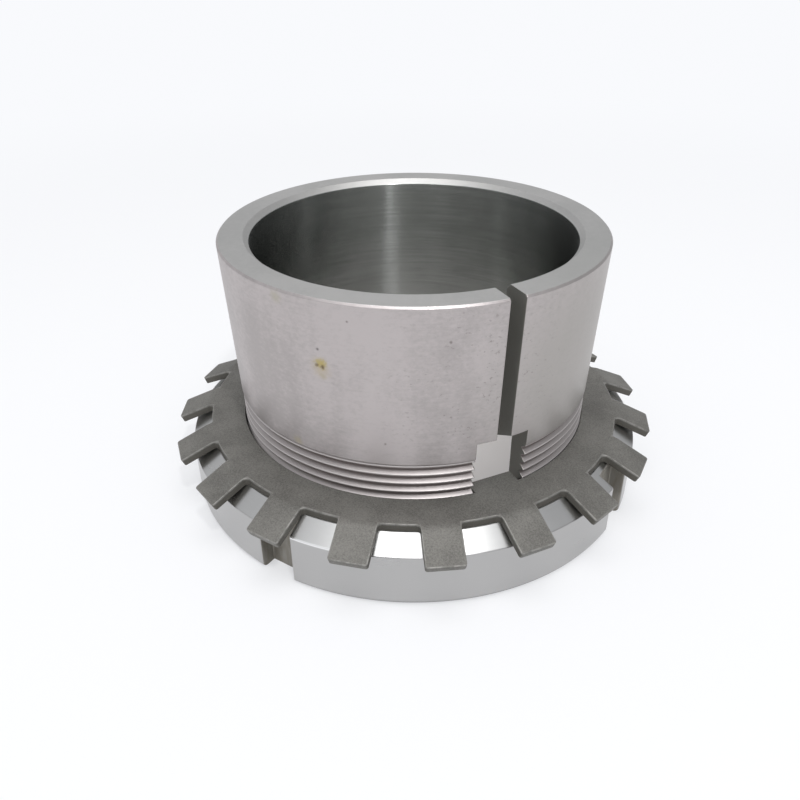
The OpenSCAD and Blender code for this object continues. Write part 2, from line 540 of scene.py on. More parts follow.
@dataclass(frozen=True)
class GroundSteel(MachinedSteel):
    """The sleeve's ground steel: specks and stains on the taper, painted shade on its right side, and a
    darker thread with painted highlights on its crests and painted shade in its roots.

    A place on the taper is in degrees from the slit and in height. A span runs from where a mask
    is 0 to where it is 1, as a distance from the place or the size that it belongs to.
    """

    # Painted shade: a darker colour over the right side of the taper.
    right_shade: Tone = Tone((0.385, 0.37, 0.35), 0.75)
    right_shade_at: Span = (30.0, 38.0)
    right_shade_span: Span = (34.0, 10.0)
    speck: Tone = Tone((0.20, 0.175, 0.165), 0.55, duller=0.3)
    speck_at: Span = (-6.0, 42.0)
    speck_span: Span = (30.0, 5.0)
    speck_start: Span = (1.0, 3.0)
    specks: Noise = Noise(1.5, 2.0, 0.6, (0.8, 0.8, 1.2))
    speck_limits: Span = (0.61, 0.70)
    groups: Noise = Noise(0.22, 2.0, 0.5)
    group_limits: Span = (0.42, 0.58)
    group_least: float = 0.25
    wobble: Noise = Noise(1.6, 2.0, 0.6)
    top: Tone = Tone((0.475, 0.49, 0.475), 0.6, 0.1)
    top_span: Span = (-0.06, -0.01)
    mouth_height: Span = (-1.5, -1.3)
    mouth_width: Span = (1.05, 0.45)
    thread: Tone = Tone((0.395, 0.366, 0.36), 0.8)
    thread_span: Span = (0.0, -0.15)
    thread_roughness: float = 0.45
    # Painted highlight: the crests of the thread are coloured lighter.
    crest: Tone = Tone((0.70, 0.672, 0.662), 0.6)
    crest_highlight_span: Span = (-0.2, -0.04)
    # Painted shade: the roots of the thread, and a line just under the taper's step, are coloured darker.
    root: Tone = Tone((0.33, 0.295, 0.285), 0.85)
    root_shade_span: Span = (-0.75, -0.95)
    step_shadow_start: Span = (-0.12, -0.02)
    step_shadow_end: Span = (0.32, 0.18)
    # Cut faces: less metallic, and a dark colour that is painted shade inside the slit and the keyway.
    cut: Tone = Tone((0.235, 0.23, 0.21), duller=0.4)
    cut_roughness: float = 0.55
    cut_span: Span = (0.1, 0.02)
    key_height: Span = (0.06, 0.01)
    key_depth: Span = (0.03, 0.1)
    bore_span: Span = (0.14, 0.04)
    marks: tuple[Mark, ...] = (
        Mark(-50.4, 45.0, 2.5, (0.48, 0.40, 0.26), 0.5),
        Mark(-50.1, 46.0, 1.5, (0.46, 0.37, 0.11), 0.8),
        Mark(-49.9, 43.3, 0.9, (0.40, 0.35, 0.22), 0.40),
        Mark(-51.4, 45.5, 0.50, (0.14, 0.095, 0.05), 0.75),
        Mark(-49.8, 45.3, 0.58, (0.12, 0.08, 0.045), 0.85),
        Mark(-50.8, 48.9, 0.42, (0.13, 0.12, 0.115), 0.8),
        Mark(-61.0, 25.9, 1.5, (0.42, 0.36, 0.20), 0.45),
        Mark(-62.5, 57.4, 1.6, (0.40, 0.38, 0.24), 0.35),
        Mark(-42.1, 55.5, 0.33, (0.15, 0.12, 0.115), 0.7),
        Mark(-17.0, 52.1, 0.42, (0.16, 0.14, 0.13), 0.7),
        Mark(-33.5, 30.0, 0.36, (0.18, 0.15, 0.14), 0.6),
    )

    def material(self, sleeve: Sleeve, honed: MachinedSteel) -> bpy.types.Material:
        """Makes the material.

        Args:
            sleeve: The sleeve, whose sizes place the marks.
            honed: The finish of its bore, whose roughness is even.

        Returns:
            The material.
        """
        g = Surface(self.name)
        look, lines = self.base(g)
        self.stain(look, sleeve)
        self.lay_ends(look, sleeve)
        sawn_and_shaded = self.cut_mask(g, sleeve)
        # Painted shade on the walls of the slit and the keyway, which are also rougher and less metallic.
        look.lay(sawn_and_shaded, self.cut)
        look.level(sawn_and_shaded, self.cut_roughness)
        outside = self.shader(look, lines)
        bare, bore_lines = honed.base(g)
        bare.rough = honed.roughness
        inside = honed.shader(bare, bore_lines)
        bore = (g.r - sleeve.bore_r).rise(*self.bore_span)
        return g.finish(g.node("ShaderNodeMixShader", {0: bore, 1: outside, 2: inside}))

    def stain(self, look: Look, sleeve: Sleeve) -> None:
        """Lays painted shade on the taper's right side, then the specks and the marks of the taper.

        Args:
            look: The look that is changed.
            sleeve: The sleeve with the taper.
        """
        g = look.graph
        # Painted shade over the right side of the taper.
        right_shade = g.distance(sleeve.point_on_seat(*self.right_shade_at))
        look.lay(right_shade.rise(*self.right_shade_span), self.right_shade)
        near = g.distance(sleeve.point_on_seat(*self.speck_at)).rise(*self.speck_span)
        above = (g.z - sleeve.thread_len).rise(*self.speck_start)
        groups = g.noise(self.groups).rise(*self.group_limits)
        groups = self.group_least + groups * (1 - self.group_least)
        specks = g.noise(self.specks).rise(*self.speck_limits)
        look.lay(specks * groups * near * above, self.speck)
        wobble = g.ripple(self.wobble)
        for mark in self.marks:
            centre = sleeve.point_on_seat(mark.angle, mark.z)
            apart = g.distance(centre) + wobble * mark.radius
            look.lay(apart.rise(mark.radius * mark.rim, mark.radius * mark.core), mark.tone)

    def lay_ends(self, look: Look, sleeve: Sleeve) -> None:
        """Lays the top face with the mouth of the bore, and the thread: painted highlights on its crests,
        painted shade in its roots and a painted shadow line under the taper's step.

        Args:
            look: The look that is changed.
            sleeve: The sleeve with the sizes of both ends.
        """
        g = look.graph
        top = g.z - sleeve.length
        mouth = (g.r - sleeve.bore_r - sleeve.bore_chamfer).rise(*self.mouth_width)
        mouth = mouth * top.rise(*self.mouth_height)
        look.lay(top.rise(*self.top_span).most(mouth), self.top)
        above = g.z - sleeve.thread_len
        outside = g.r - sleeve.thread.major_r
        thread = above.rise(*self.thread_span)
        step_shadow = above.rise(*self.step_shadow_start) * above.rise(*self.step_shadow_end)
        look.lay(thread, self.thread)
        # Painted highlight on the crests; painted shade in the roots and as a shadow line under the taper's
        # step.
        look.lay(thread * outside.rise(*self.crest_highlight_span), self.crest)
        look.lay((thread * outside.rise(*self.root_shade_span)).most(step_shadow), self.root)
        look.level(thread, self.thread_roughness)

    def cut_mask(self, g: Surface, sleeve: Sleeve) -> Value:
        """Where the slit and the keyway were cut: rougher, less metallic, and coloured darker as painted
        shade inside the narrow cuts.

        Args:
            g: The graph.
            sleeve: The sleeve with the sizes of the cuts.

        Returns:
            1 on the walls of the cuts and 0 elsewhere.
        """
        c = math.cos(math.radians(sleeve.slit_angle))
        s = math.sin(math.radians(sleeve.slit_angle))
        ahead = (g.x * c + g.y * s).rise(0.0, 1.0)
        aside = abs(g.y * c - g.x * s)
        slit = (aside - sleeve.slit_half).rise(*self.cut_span)
        key = (aside - sleeve.key_half).rise(*self.cut_span)
        key = key * (g.z - sleeve.key_top).rise(*self.key_height)
        key = key * (g.r - sleeve.bore_r).rise(*self.key_depth)
        return slit.most(key) * ahead


@dataclass(frozen=True)
class TurnedSteel(MachinedSteel):
    """The nut's turned steel: painted shade on its outside wall, stains and painted shade in its slots, and a
    painted shadow line at the foot.

    One place on the rim has a painted highlight. The spans of the painted shadow at the foot are in radii of
    its round edge, and the rim's window is in radii of the nut.
    """

    # Painted shade: the outside wall is coloured darker.
    wall: Tone = Tone((0.445, 0.44, 0.437), 0.8)
    wall_shade_span: Span = (-0.3, -0.1)
    # Painted highlight: a bright place on the rim.
    rim: Tone = Tone((0.90, 0.90, 0.90))
    rim_glint_at: float = -80.9
    rim_glint_span: Span = (0.50, 0.20)
    rim_glint_window: Span = (0.983, 0.994)
    # Painted shadow: a dark line along the foot's round edge, where the nut meets the floor.
    foot: Tone = Tone((0.09, 0.088, 0.085), 0.85)
    foot_shadow_width: Span = (-1.0, -0.5)
    foot_shadow_height: Span = (0.75, 0.5)
    foot_shadow_duller: float = 0.7
    # Stains in the slots, with a dark colour that is also painted shade inside them.
    slot: Tone = Tone((0.245, 0.225, 0.188))
    slot_width: Span = (0.12, 0.02)
    slot_floor: Span = (-0.15, -0.03)
    slot_rougher: float = 0.25
    slot_duller: float = 0.5
    stains: Noise = Noise(0.9, 4.0, 0.6, (0.8, 0.8, 0.15))
    stain_limits: Span = (0.25, 0.7)
    stain_least: float = 0.7
    stain_more: float = 0.25

    def material(self, nut: Nut) -> bpy.types.Material:
        """Makes the material.

        Args:
            nut: The nut, whose slots are stained.

        Returns:
            The material.
        """
        g = Surface(self.name)
        look, lines = self.base(g)
        outside = g.r - nut.outer_r
        wall = outside.rise(*self.wall_shade_span)
        # Painted shade on the outside wall.
        look.lay(wall, self.wall)
        # A painted highlight at one place on the rim, which turns with the nut.
        bright = math.radians(self.rim_glint_at)
        ahead = (g.x * math.cos(bright) + g.y * math.sin(bright)) / nut.outer_r
        rim = abs(g.z - nut.rim_z).rise(*self.rim_glint_span) * wall
        look.lay(rim * ahead.rise(*self.rim_glint_window), self.rim)
        # Painted shadow along the lower round edge.
        foot = (outside / nut.edge_r).rise(*self.foot_shadow_width)
        foot = foot * (g.z / nut.edge_r).rise(*self.foot_shadow_height)
        look.lay(foot, self.foot)
        aside = abs(g.x).least(abs(g.y)) - nut.slot_half
        out = abs(g.x).most(abs(g.y)) - nut.floor_r
        slot = aside.rise(*self.slot_width) * out.rise(*self.slot_floor)
        stain = g.noise(self.stains).rise(*self.stain_limits)
        # Stains in the slots; their dark colour is also painted shade in the recess.
        look.lay(slot * (self.stain_least + stain * self.stain_more), self.slot)
        look.rough = look.rough + slot * self.slot_rougher
        look.metal = 1 - (slot * self.slot_duller).most(foot * self.foot_shadow_duller)
        return g.finish(self.shader(look, lines))


@dataclass(frozen=True)
class PhosphatedSteel:
    """Dark matt sheet with a crystalline phosphate skin that is worn along its edges.

    Edge spans are distances from the edge, and depth spans distances below the upper face.
    """

    name: str
    light: Colour
    dark: Colour
    roughness: float
    worn: Tone = Tone((0.42, 0.41, 0.39), 0.5, -0.12)
    worn_edge: Span = (0.30, 0.08)
    worn_depth: Span = (0.4, 0.2)
    worn_metal: float = 0.45
    metal: float = 0.35
    ragged: float = 0.35
    breaks: Noise = Noise(0.55, 3.0, 0.6)
    break_limits: Span = (0.38, 0.55)
    break_least: float = 0.25
    punched: Tone = Tone((0.085, 0.079, 0.066), 0.8)
    punched_edge: Span = (0.3, 0.1)
    punched_depth: Span = (0.3, 0.55)
    grain: Noise = Noise(3.2, 4.0, 0.75)
    grain_tint: float = 2.6
    grain_rough: float = 0.15
    grain_bump: float = 0.35
    bump_height: float = 0.02
    cloud: Noise = Noise(0.11, 4.0, 0.6)
    cloud_tint: float = 1.4

    def edge_place(self, g: Surface, washer: Washer) -> tuple[Value, Value]:
        """Where a point lies in the bent sheet.

        Args:
            g: The graph.
            washer: The washer with the sizes of its teeth.

        Returns:
            Distance from the outer edge of ring and teeth, and depth below the upper face.
        """
        x = g.x - washer.shift[0]
        y = g.y - washer.shift[1]
        r = g.radius(x, y)
        turn = g.math("ARCTAN2", y, x) - math.radians(washer.angle)
        fold = g.math("PINGPONG", turn, FULL_TURN / washer.teeth / 2)
        side = r * g.math("SINE", fold)
        reach = r * g.math("COSINE", fold)
        tooth_edge = (washer.tooth_half - side).least(washer.tip_r - reach)
        tilt = math.radians(washer.bend)
        crease = washer.ring_r + (washer.bend_r + washer.thickness) * math.tan(tilt / 2)
        fall = (reach - crease).most(0.0) * math.tan(tilt)
        depth = (washer.seat_z + washer.thickness - fall - g.z) * math.cos(tilt)
        return (washer.ring_r - r).most(tooth_edge), depth

    def material(self, washer: Washer) -> bpy.types.Material:
        """Makes the material.

        Args:
            washer: The washer, whose teeth place the worn edges.

        Returns:
            The material.
        """
        g = Surface(self.name)
        edge, depth = self.edge_place(g, washer)
        grain = g.ripple(self.grain)
        cloud = g.ripple(self.cloud)
        broken = g.noise(self.breaks).rise(*self.break_limits)
        broken = self.break_least + broken * (1 - self.break_least)
        ragged = edge + grain * self.ragged
        worn = ragged.rise(*self.worn_edge) * depth.rise(*self.worn_depth) * broken
        punched = edge.rise(*self.punched_edge) * depth.rise(*self.punched_depth)
        share = (grain * self.grain_tint + cloud * self.cloud_tint + MIDDLE).rise(0.0, 1.0)
        rough = self.roughness + grain * self.grain_rough
        metal = self.metal + worn * self.worn_metal
        look = Look(g, g.mix(share, self.dark, self.light), rough, metal)
        look.lay(worn, self.worn)
        look.lay(punched, self.punched)
        return g.finish(look.shader(grain, self.grain_bump, self.bump_height, {}))


def dress(piece: Piece, shape: Shape, material: bpy.types.Material) -> None:
    """Makes a piece with its material and body, and lets it stand for its CAD node.

    Args:
        piece: Which piece it is.
        shape: Its mesh to be.
        material: Its finish.
    """
    made = shape.to_object(piece.title)
    made.data.materials.append(material)
    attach(made, piece.body)
    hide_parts(piece.node)
    LOG.info("%s: %d faces, on body %s", made.name, len(made.data.polygons), piece.body)


@dataclass
class Sleeve:
    """The slit, tapered sleeve with its threaded foot and keyway."""

    thread: Thread
    finish: GroundSteel
    bore_finish: MachinedSteel
    bore_r: float = 35.0
    length: float = 59.0
    taper: float = 12.0
    thread_len: float = 24.85
    thread_turns: tuple[int, int] = (-1, 13)
    thread_fade: float = 0.3
    thread_chamfer: float = 1.2
    seat_step: float = 0.2
    key_len: float = 28.7
    key_fall: float = 28.0
    key_half: float = 5.75
    slit_half: float = 1.6
    slit_angle: float = -32.2
    bore_chamfer: float = 1.15
    foot_chamfer: float = 0.6
    top_chamfer: float = 0.42
    edge_r: float = 0.15
    chamfer_round: float = 0.17
    guard: float = 0.1
    arc_columns: int = 240
    edge_columns: int = 4
    ledge_columns: int = 5
    wall_columns: int = 6

    def seat_r(self, z: float) -> float:
        """Radius of the taper at a height."""
        small = self.thread.major_r + self.seat_step
        return small + (z - self.thread_len - self.seat_step) / self.taper / 2

    def key_end(self, r: float) -> float:
        """Height at a radius of the keyway's upper end, which falls towards the bore."""
        small = self.thread.major_r + self.seat_step
        return self.key_len + (r - small) * math.tan(math.radians(self.key_fall))

    @property
    def key_top(self) -> float:
        """Height of the keyway's upper end on the taper."""
        return self.key_end(self.seat_r(self.key_len))

    def point_on_seat(self, angle: float, z: float) -> Point:
        """Point on the taper at an angle in degrees from the slit and a height."""
        turn = math.radians(self.slit_angle + angle)
        r = self.seat_r(z)
        return (r * math.cos(turn), r * math.sin(turn), z)

    def foot_rows(self, angle: np.ndarray) -> tuple[np.ndarray, ...]:
        """Rows from the foot to the upper end of the keyway.

        The rows of the thread climb with the angle and are cut off at its two ends. Its depth
        fades out below the taper, and a cone trims it at the foot.

        Args:
            angle: Angles of the outer columns.

        Returns:
            Outer radius and height for each row and column, inner radius and height for each row.
        """
        rows = self.thread.rows(*self.thread_turns)
        z = np.clip(self.thread.height(rows, angle), 0, self.thread_len)
        fade = np.clip((self.thread_len - z) / self.thread_fade, 0, 1)
        r = self.thread.sleeve_r(z, angle[None, :], fade)
        r = np.minimum(r, self.thread.major_r - self.thread_chamfer + z)
        low_z = self.thread_len + self.seat_step
        seat_z = np.array([low_z, low_z + self.guard, self.key_top - self.guard, self.key_top])
        ones = np.ones((1, len(angle)))
        out_r = np.concatenate([r, self.seat_r(seat_z)[:, None] * ones])
        out_z = np.concatenate([z, seat_z[:, None] * ones])
        knee = self.foot_chamfer
        starts = [0, knee - self.guard, knee, knee + self.guard]
        climb = np.linspace(knee + self.guard, self.thread_len, len(rows) - len(starts) + 1)
        in_top = self.key_end(self.bore_r)
        in_z = np.concatenate([starts, climb[1:], seat_z[:2], [in_top - self.guard, in_top]])
        in_r = self.bore_r + np.maximum(knee - in_z, 0)
        return out_r, out_z, in_r, in_z

    def head_rows(self) -> tuple[np.ndarray, ...]:
        """Rows from the upper end of the keyway to the top face, with both chamfers rounded.

        Returns:
            Outer radius, outer height, inner radius and inner height for each row.
        """
        e = self.chamfer_round
        top = self.length
        brim = top - self.top_chamfer
        middle = (self.bore_r + self.thread.major_r) / 2
        outer = soften([
            (self.seat_r(self.key_top), self.key_top, 0),
            (self.seat_r(brim), brim, e),
            (self.seat_r(top) - self.top_chamfer, top, e),
            (middle, top, 0),
        ])
        inner = soften([
            (self.bore_r, self.key_end(self.bore_r), 0),
            (self.bore_r, top - self.bore_chamfer, e),
            (self.bore_r + self.bore_chamfer, top, e),
            (middle, top, 0),
        ])
        return outer[:-1, 0], outer[:-1, 1], inner[:-1, 0], inner[:-1, 1]

    def side(self, half: float, rows: tuple[np.ndarray, ...], bend: Span, ledge: int) -> np.ndarray:
        """One side wall of the slit or the keyway.

        From the outside in: points of the outer arc up to the wall, a rounded edge, the flat
        wall, a rounded edge, and points of the inner arc. Heights go from the outer row's to
        the inner row's across the wall.

        Args:
            half: Half the width of the cut.
            rows: Outer radius and height, inner radius and height for each row.
            bend: Angles at which the outer and the inner arc of all rows begin.
            ledge: Number of points on each of the two arcs, taken from the wall's.

        Returns:
            Points for each row and column, along, across and up.
        """
        out_r, out_z, in_r, in_z = [row[:, None] for row in rows]
        e = self.edge_r
        edge = half + e
        swing = np.linspace(0, QUARTER_TURN, self.edge_columns)[None, :]
        out_x = np.sqrt(out_r**2 - edge**2)
        in_x = np.sqrt(in_r**2 - edge**2)
        flat = self.wall_columns + 2 * (self.ledge_columns - ledge)
        share = np.linspace(0, 1, flat + 2)[None, 1:-1]
        step = np.linspace(0, 1, ledge + 1)[None, :]
        out_turn = bend[0] + (np.arcsin((edge + self.guard) / out_r) - bend[0]) * step[:, 1:]
        in_turn = bend[1] + (np.arcsin((edge + self.guard) / in_r) - bend[1]) * step[:, :0:-1]
        ones = np.ones_like(out_r)
        along = [
            out_r * np.cos(out_turn),
            out_x - e + e * np.cos(swing),
            out_x - e + (in_x - out_x + 2 * e) * share,
            in_x + e - e * np.sin(swing),
            in_r * np.cos(in_turn),
        ]
        across = [
            out_r * np.sin(out_turn),
            (edge - e * np.sin(swing)) * ones,
            half * ones * np.ones_like(share),
            (edge - e * np.cos(swing)) * ones,
            in_r * np.sin(in_turn),
        ]
        weight = [step[:, 1:] * 0, swing * 0, share, swing * 0 + 1, step[:, 1:] * 0 + 1]
        blend = np.concatenate(weight, axis=1)
        up = out_z + (in_z - out_z) * blend
        return np.stack([np.concatenate(along, axis=1), np.concatenate(across, axis=1), up], axis=-1)

    def loops(self, half: float, rows: tuple[np.ndarray, ...], angles: tuple[np.ndarray, np.ndarray],
              ledge: int) -> np.ndarray:
        """Closed C-shaped outlines, which start and end in the middle of one side wall.

        Args:
            half: Half the width of the cut.
            rows: Outer radius and height for each row and column, inner ones for each row.
            angles: Angles of the outer and of the inner columns.
            ledge: Number of points of the ledge beside the cut.

        Returns:
            Points for each row and column; the outer half of a row comes first.
        """
        out_r, out_z, in_r, in_z = rows
        outer, inner = angles
        bend = (outer[0], inner[0])
        left = self.side(half, (out_r[:, 0], out_z[:, 0], in_r, in_z), bend, ledge)
        right = self.side(half, (out_r[:, -1], out_z[:, -1], in_r, in_z), bend, ledge)
        right = right * np.array([1, -1, 1])
        around = polar(out_r, outer, out_z)
        bore = polar(in_r[:, None], inner, in_z[:, None])
        mid = left.shape[1] // 2
        parts = [left[:, mid - 1::-1], around, right, bore[:, ::-1], left[:, :mid - 1:-1]]
        return np.concatenate(parts, axis=1)

    def shape(self) -> Shape:
        """One closed skin: rows of the keyway, rows of the slit and a cap at each end."""
        reach = self.key_half + self.edge_r + self.guard
        out_bend = math.asin(reach / self.thread.major_r)
        in_bend = math.asin(reach / self.bore_r)
        outer = np.linspace(out_bend, FULL_TURN - out_bend, self.arc_columns)
        inner = np.linspace(in_bend, FULL_TURN - in_bend, self.arc_columns)
        foot = self.loops(self.key_half, self.foot_rows(outer), (outer, inner), 0)
        head_r, head_z, in_r, in_z = self.head_rows()
        ones = np.ones((1, self.arc_columns))
        head_rows = (head_r[:, None] * ones, head_z[:, None] * ones, in_r, in_z)
        head = self.loops(self.slit_half, head_rows, (outer, inner), self.ledge_columns)
        points = np.concatenate([foot, head])
        rows, columns = points.shape[:2]
        half = np.arange(columns // 2 - 1)
        cap = np.stack([half, half + 1, columns - 2 - half, columns - 1 - half], axis=-1)
        faces = [grid_faces(rows, columns), cap, cap + (rows - 1) * columns]
        return Shape(turned(points.reshape(-1, 3), self.slit_angle), np.concatenate(faces))

    def build(self) -> None:
        """Makes and dresses the sleeve."""
        dress(Piece.SLEEVE, self.shape(), self.finish.material(self, self.bore_finish))


@dataclass
class Nut:
    """The round lock nut with four spanner slots and an inner thread."""

    thread: Thread
    finish: TurnedSteel
    slit_angle: float
    outer_r: float = 52.5
    width: float = 15.0
    face_r: float = 48.0
    chamfer_angle: float = 30.0
    edge_r: float = 1.5
    rim_round: float = 0.35
    mouth_r: float = 41.05
    slots: int = 4
    slot_half: float = 4.0
    floor_r: float = 49.0
    slot_round: float = 0.3
    floor_round: float = 0.2
    slot_guard: float = 0.12
    chamfer_guards: Span = (0.45, 0.1)
    floor_guard: float = 0.08
    thread_turns: tuple[int, int] = (-3, 10)
    fan_near: float = 0.25
    fan_far: float = 1.9
    arc_columns: int = 46
    floor_columns: int = 4
    round_columns: int = 4
    wall_columns: int = 6
    profile_steps: int = 6

    def chamfer_z(self, r: float) -> float:
        """Height of the chamfer at a radius."""
        return self.width - (r - self.face_r) * math.tan(math.radians(self.chamfer_angle))

    @property
    def rim_z(self) -> float:
        """Height of the edge between the chamfer and the outside."""
        return self.chamfer_z(self.outer_r)

    def slot_side(self) -> tuple[np.ndarray, np.ndarray]:
        """Half of a slot's outline, from the middle of its floor to the outside of the nut.

        Returns:
            Distance from the slot's middle line and distance along it from the axis.
        """
        h, e, q = self.slot_half, self.slot_round, self.floor_round
        swing = np.linspace(0, QUARTER_TURN, self.round_columns)
        top = math.sqrt(self.outer_r**2 - (h + e) ** 2)
        rise = np.linspace(self.floor_r + q, top - e, self.wall_columns + 2)[1:-1]
        across = [
            np.linspace(0, h - q, self.floor_columns)[:-1],
            h - q + q * np.sin(swing),
            np.full(self.wall_columns, h),
            h + e - e * np.cos(swing),
        ]
        along = [
            np.full(self.floor_columns - 1, self.floor_r),
            self.floor_r + q - q * np.cos(swing),
            rise,
            top - e + e * np.sin(swing),
        ]
        return np.concatenate(across), np.concatenate(along)

    def outline(self) -> tuple[np.ndarray, ...]:
        """Columns round the nut.

        A quarter runs from the middle of one slot to the next: half a slot, an arc, and the
        other half of the next slot in mirror image.

        Returns:
            Axis of the slot or angle on the arc, distance across and along the slot (no limit
            on an arc), and the angle of the same column in the bore.
        """
        across, along = self.slot_side()
        count = len(across)
        quarter = FULL_TURN / self.slots
        start = math.asin((self.slot_half + self.slot_round + self.slot_guard) / self.outer_r)
        arc = np.linspace(start, quarter - start, self.arc_columns)
        near = math.asin((self.slot_half + self.fan_near) / self.mouth_r)
        far = math.asin((self.slot_half + self.fan_far) / self.mouth_r)
        floor = self.floor_columns + self.round_columns - 1
        fan = np.concatenate([
            np.linspace(0, near, floor),
            np.linspace(near, far, count - floor + 1)[1:],
        ])
        gap = (quarter - 2 * far) / (self.arc_columns + 1)
        bore = np.linspace(far + gap, quarter - far - gap, self.arc_columns)
        axis = np.concatenate([np.zeros(count), arc, np.full(count - 1, quarter)])
        flat = np.zeros(self.arc_columns)
        wide = np.concatenate([across, flat, -across[:0:-1]])
        deep = np.concatenate([along, flat + np.inf, along[:0:-1]])
        around = np.concatenate([fan, bore, quarter - fan[:0:-1]])
        steps = np.repeat(np.arange(self.slots) * quarter, len(axis))
        turns = [np.tile(axis, self.slots) + steps, np.tile(wide, self.slots)]
        return (*turns, np.tile(deep, self.slots), np.tile(around, self.slots) + steps)

    def outer_profile(self) -> np.ndarray:
        """Radius and height of the outer rows, from the foot's edge to the upper face."""
        slot_edge = math.hypot(self.floor_r, self.slot_half)
        cuts = [slot_edge + guard for guard in (*self.chamfer_guards, 0)]
        cuts += [self.floor_r + self.floor_guard, self.floor_r]
        chamfer = [(r, self.chamfer_z(r), 0) for r in cuts]
        corners = [
            (self.face_r, 0, 0),
            (self.outer_r, 0, self.edge_r),
            (self.outer_r, self.rim_z, self.rim_round),
            *chamfer,
            (self.face_r, self.width, self.rim_round),
            (self.mouth_r, self.width, 0),
        ]
        return soften(corners, self.profile_steps)[1:-1]

    def shape(self) -> Shape:
        """One closed skin: the outside, the inner thread and the two end faces.

        A slot's column keeps its distance from the slot's middle line and stops at the slot's
        floor or wall or at the outer radius, whichever comes first. The rows of the thread
        climb with the angle, so that its last column joins the first one turn further on.
        """
        axis, wide, deep, around = self.outline()
        columns = len(axis)
        profile = self.outer_profile()
        r, z = profile[:, :1], profile[:, 1:]
        reach = np.minimum(deep, np.sqrt(r**2 - wide**2))
        ones = np.ones(columns)
        outside = np.stack([*swung(reach, wide, axis), z * ones], axis=-1)
        angle = around - math.radians(self.slit_angle)
        rows = self.thread.rows(*self.thread_turns)
        turn = len(self.thread.knots)
        height = np.clip(self.thread.height(rows, angle), 0, self.width)
        mouth = self.mouth_r - np.minimum(height, self.width - height)
        bore_r = np.maximum(self.thread.nut_r(height, angle[None, :]), mouth)
        bore = polar(bore_r, around, height)
        points = np.concatenate([outside, bore]).reshape(-1, 3)
        start = len(profile) * columns
        number = np.arange(len(rows) * columns).reshape(len(rows), columns) + start
        seam = np.stack([
            number[:-turn - 1, -1],
            number[1:-turn, -1],
            number[turn + 1:, 0],
            number[turn:-1, 0],
        ], axis=-1)
        first = np.arange(columns)
        after = np.roll(first, -1)
        foot = np.stack([first, after, number[0][after], number[0][first]], axis=-1)
        brim = start - columns
        face = np.stack([first + brim, after + brim, number[-1][after], number[-1][first]], axis=-1)
        faces = [
            grid_faces(len(profile), columns),
            grid_faces(len(rows), columns, closed=False) + start,
            seam,
            foot,
            face,
        ]
        return Shape(points, np.concatenate(faces))

    def build(self) -> None:
        """Makes and dresses the nut."""
        dress(Piece.NUT, self.shape(), self.finish.material(self))


